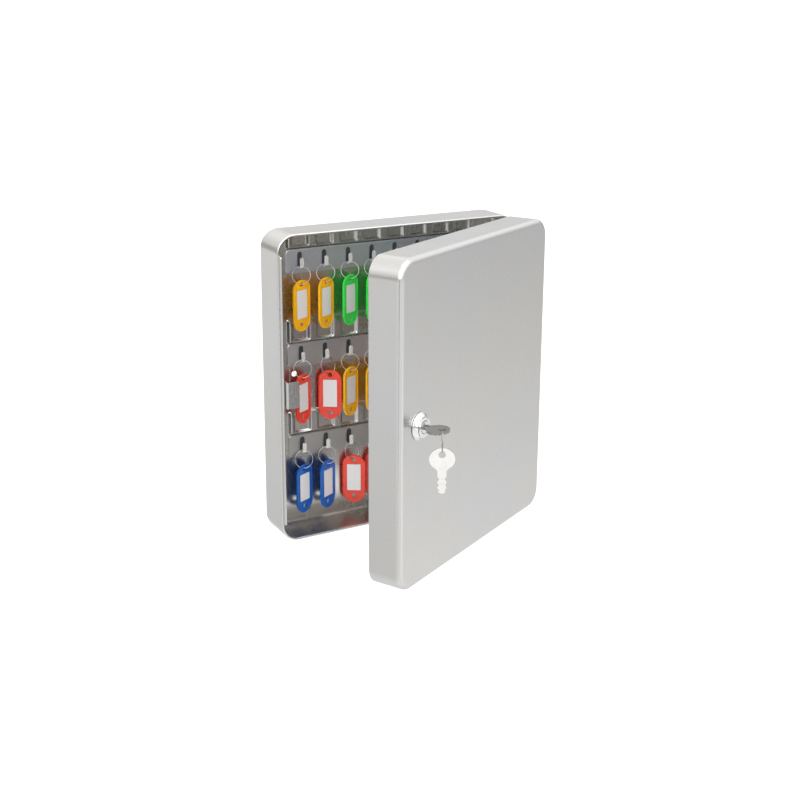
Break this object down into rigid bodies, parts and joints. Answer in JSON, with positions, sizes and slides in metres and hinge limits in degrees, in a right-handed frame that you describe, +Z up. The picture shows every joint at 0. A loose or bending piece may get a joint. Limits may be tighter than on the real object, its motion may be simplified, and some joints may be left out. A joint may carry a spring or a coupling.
{
  "type": "key cabinet",
  "caption": "Wall-mounted steel key cabinet with a hinged pan door, cam lock with keys, rows of hooks on pressed rails and coloured key tags on split rings",
  "frame": {"origin": "centre of the case's flat back face, which hangs against the wall", "axes": "+X to the right seen from the front, towards the hinges; +Y back into the wall; +Z up. The door stands open by 27.4 degrees at rest"},
  "size_m": [0.2742, 0.2127, 0.3],
  "materials": {
    "case_steel": "satin, lacquered",
    "door_steel": "satin, lacquered",
    "rail_steel": "satin",
    "zinc_steel": "zinc plated",
    "lock_chrome": "polished",
    "key_nickel": "nickel plated",
    "ring_wire": "nickel plated wire",
    "tag_yellow": "semi gloss",
    "tag_green": "semi gloss",
    "tag_red": "semi gloss",
    "tag_blue": "semi gloss",
    "label_card": "matt card"
  },
  "bodies": {
    "cabinet": {"case_shell": "case_steel", "hook_rail_top": "rail_steel", "hook_rail_middle": "rail_steel", "hook_rail_bottom": "rail_steel", "strike_plate": "zinc_steel", "upper_hinge_case_leaf": "zinc_steel", "lower_hinge_case_leaf": "zinc_steel", "upper_hinge_pin": "zinc_steel", "lower_hinge_pin": "zinc_steel"},
    "door": {"door_shell": "door_steel", "upper_hinge_door_leaf": "zinc_steel", "lower_hinge_door_leaf": "zinc_steel", "lock_bezel": "lock_chrome", "lock_body": "lock_chrome", "lock_nut": "zinc_steel"},
    "lock_plug": {"lock_plug": "lock_chrome", "lock_cam": "zinc_steel", "cam_screw": "zinc_steel"},
    "lock_key": {"lock_key": "key_nickel"},
    "key_ring": {"key_ring": "ring_wire"},
    "spare_key": {"spare_key": "key_nickel"},
    "tag_set_top_1": {"tag_ring_top_1": "ring_wire", "tag_top_1": "tag_yellow", "tag_label_top_1": "label_card"},
    "tag_set_top_2": {"tag_ring_top_2": "ring_wire", "tag_top_2": "tag_yellow", "tag_label_top_2": "label_card"},
    "tag_set_top_3": {"tag_ring_top_3": "ring_wire", "tag_top_3": "tag_green", "tag_label_top_3": "label_card"},
    "tag_set_top_4": {"tag_ring_top_4": "ring_wire", "tag_top_4": "tag_green", "tag_label_top_4": "label_card"},
    "tag_set_middle_1": {"tag_ring_middle_1": "ring_wire", "tag_middle_1": "tag_red", "tag_label_middle_1": "label_card"},
    "tag_set_middle_2": {"tag_ring_middle_2": "ring_wire", "tag_middle_2": "tag_red", "tag_label_middle_2": "label_card"},
    "tag_set_middle_3": {"tag_ring_middle_3": "ring_wire", "tag_middle_3": "tag_yellow", "tag_label_middle_3": "label_card"},
    "tag_set_middle_4": {"tag_ring_middle_4": "ring_wire", "tag_middle_4": "tag_yellow", "tag_label_middle_4": "label_card"},
    "tag_set_bottom_1": {"tag_ring_bottom_1": "ring_wire", "tag_bottom_1": "tag_blue", "tag_label_bottom_1": "label_card"},
    "tag_set_bottom_2": {"tag_ring_bottom_2": "ring_wire", "tag_bottom_2": "tag_blue", "tag_label_bottom_2": "label_card"},
    "tag_set_bottom_3": {"tag_ring_bottom_3": "ring_wire", "tag_bottom_3": "tag_red", "tag_label_bottom_3": "label_card"},
    "tag_set_bottom_4": {"tag_ring_bottom_4": "ring_wire", "tag_bottom_4": "tag_red", "tag_label_bottom_4": "label_card"}
  },
  "joints": [
    {"name": "door_hinge", "type": "hinge", "parent": "cabinet", "child": "door", "pos_m": [0.1327, -0.041, 0], "axis": [0, 0, 1], "range_deg": [-27.4, 107.6]},
    {"name": "lock_turn", "type": "hinge", "parent": "door", "child": "lock_plug", "pos_m": [-0.05637, -0.18406, 0], "axis": [-0.4602, 0.8878, 0], "range_deg": [0, 90]},
    {"name": "key_withdraw", "type": "slide", "parent": "lock_plug", "child": "lock_key", "axis": [0.4602, -0.8878, 0], "range_m": [0, 0.026]},
    {"name": "key_ring_swing", "type": "hinge", "parent": "lock_key", "child": "key_ring", "pos_m": [-0.05107, -0.20388, 0], "axis": [-0.4848, -0.8746, 0], "range_deg": [-12, 30]},
    {"name": "spare_key_swing", "type": "hinge", "parent": "key_ring", "child": "spare_key", "pos_m": [-0.05107, -0.20388, -0.0169], "axis": [-0.4848, -0.8746, 0], "range_deg": [-15, 25]},
    {"name": "tag_swing_top_1", "type": "hinge", "parent": "cabinet", "child": "tag_set_top_1", "pos_m": [-0.08995, -0.00535, 0.1113], "axis": [-0.9135, 0.4067, 0], "range_deg": [0, 20]},
    {"name": "tag_swing_top_2", "type": "hinge", "parent": "cabinet", "child": "tag_set_top_2", "pos_m": [-0.06425, -0.00535, 0.1113], "axis": [-0.9135, 0.4067, 0], "range_deg": [0, 20]},
    {"name": "tag_swing_top_3", "type": "hinge", "parent": "cabinet", "child": "tag_set_top_3", "pos_m": [-0.03855, -0.00535, 0.1113], "axis": [-0.9272, 0.3746, 0], "range_deg": [0, 20]},
    {"name": "tag_swing_top_4", "type": "hinge", "parent": "cabinet", "child": "tag_set_top_4", "pos_m": [-0.01285, -0.00535, 0.1113], "axis": [-0.9205, 0.3907, 0], "range_deg": [0, 20]},
    {"name": "tag_swing_middle_1", "type": "hinge", "parent": "cabinet", "child": "tag_set_middle_1", "pos_m": [-0.08995, -0.00535, 0.0188], "axis": [-0.9272, 0.3746, 0], "range_deg": [0, 20]},
    {"name": "tag_swing_middle_2", "type": "hinge", "parent": "cabinet", "child": "tag_set_middle_2", "pos_m": [-0.06425, -0.00535, 0.0188], "axis": [-1, 0, 0], "range_deg": [0, 13]},
    {"name": "tag_swing_middle_3", "type": "hinge", "parent": "cabinet", "child": "tag_set_middle_3", "pos_m": [-0.03855, -0.00535, 0.0188], "axis": [-1, 0, 0], "range_deg": [0, 9]},
    {"name": "tag_swing_middle_4", "type": "hinge", "parent": "cabinet", "child": "tag_set_middle_4", "pos_m": [-0.01285, -0.00535, 0.0188], "axis": [-0.9135, 0.4067, 0], "range_deg": [0, 20]},
    {"name": "tag_swing_bottom_1", "type": "hinge", "parent": "cabinet", "child": "tag_set_bottom_1", "pos_m": [-0.08995, -0.00535, -0.0737], "axis": [-0.9205, 0.3907, 0], "range_deg": [0, 20]},
    {"name": "tag_swing_bottom_2", "type": "hinge", "parent": "cabinet", "child": "tag_set_bottom_2", "pos_m": [-0.06425, -0.00535, -0.0737], "axis": [-0.9135, 0.4067, 0], "range_deg": [0, 20]},
    {"name": "tag_swing_bottom_3", "type": "hinge", "parent": "cabinet", "child": "tag_set_bottom_3", "pos_m": [-0.03855, -0.00535, -0.0737], "axis": [-0.9659, -0.2588, 0], "range_deg": [0, 20]},
    {"name": "tag_swing_bottom_4", "type": "hinge", "parent": "cabinet", "child": "tag_set_bottom_4", "pos_m": [-0.01285, -0.00535, -0.0737], "axis": [-0.9613, -0.2756, 0], "range_deg": [0, 20]}
  ]
}
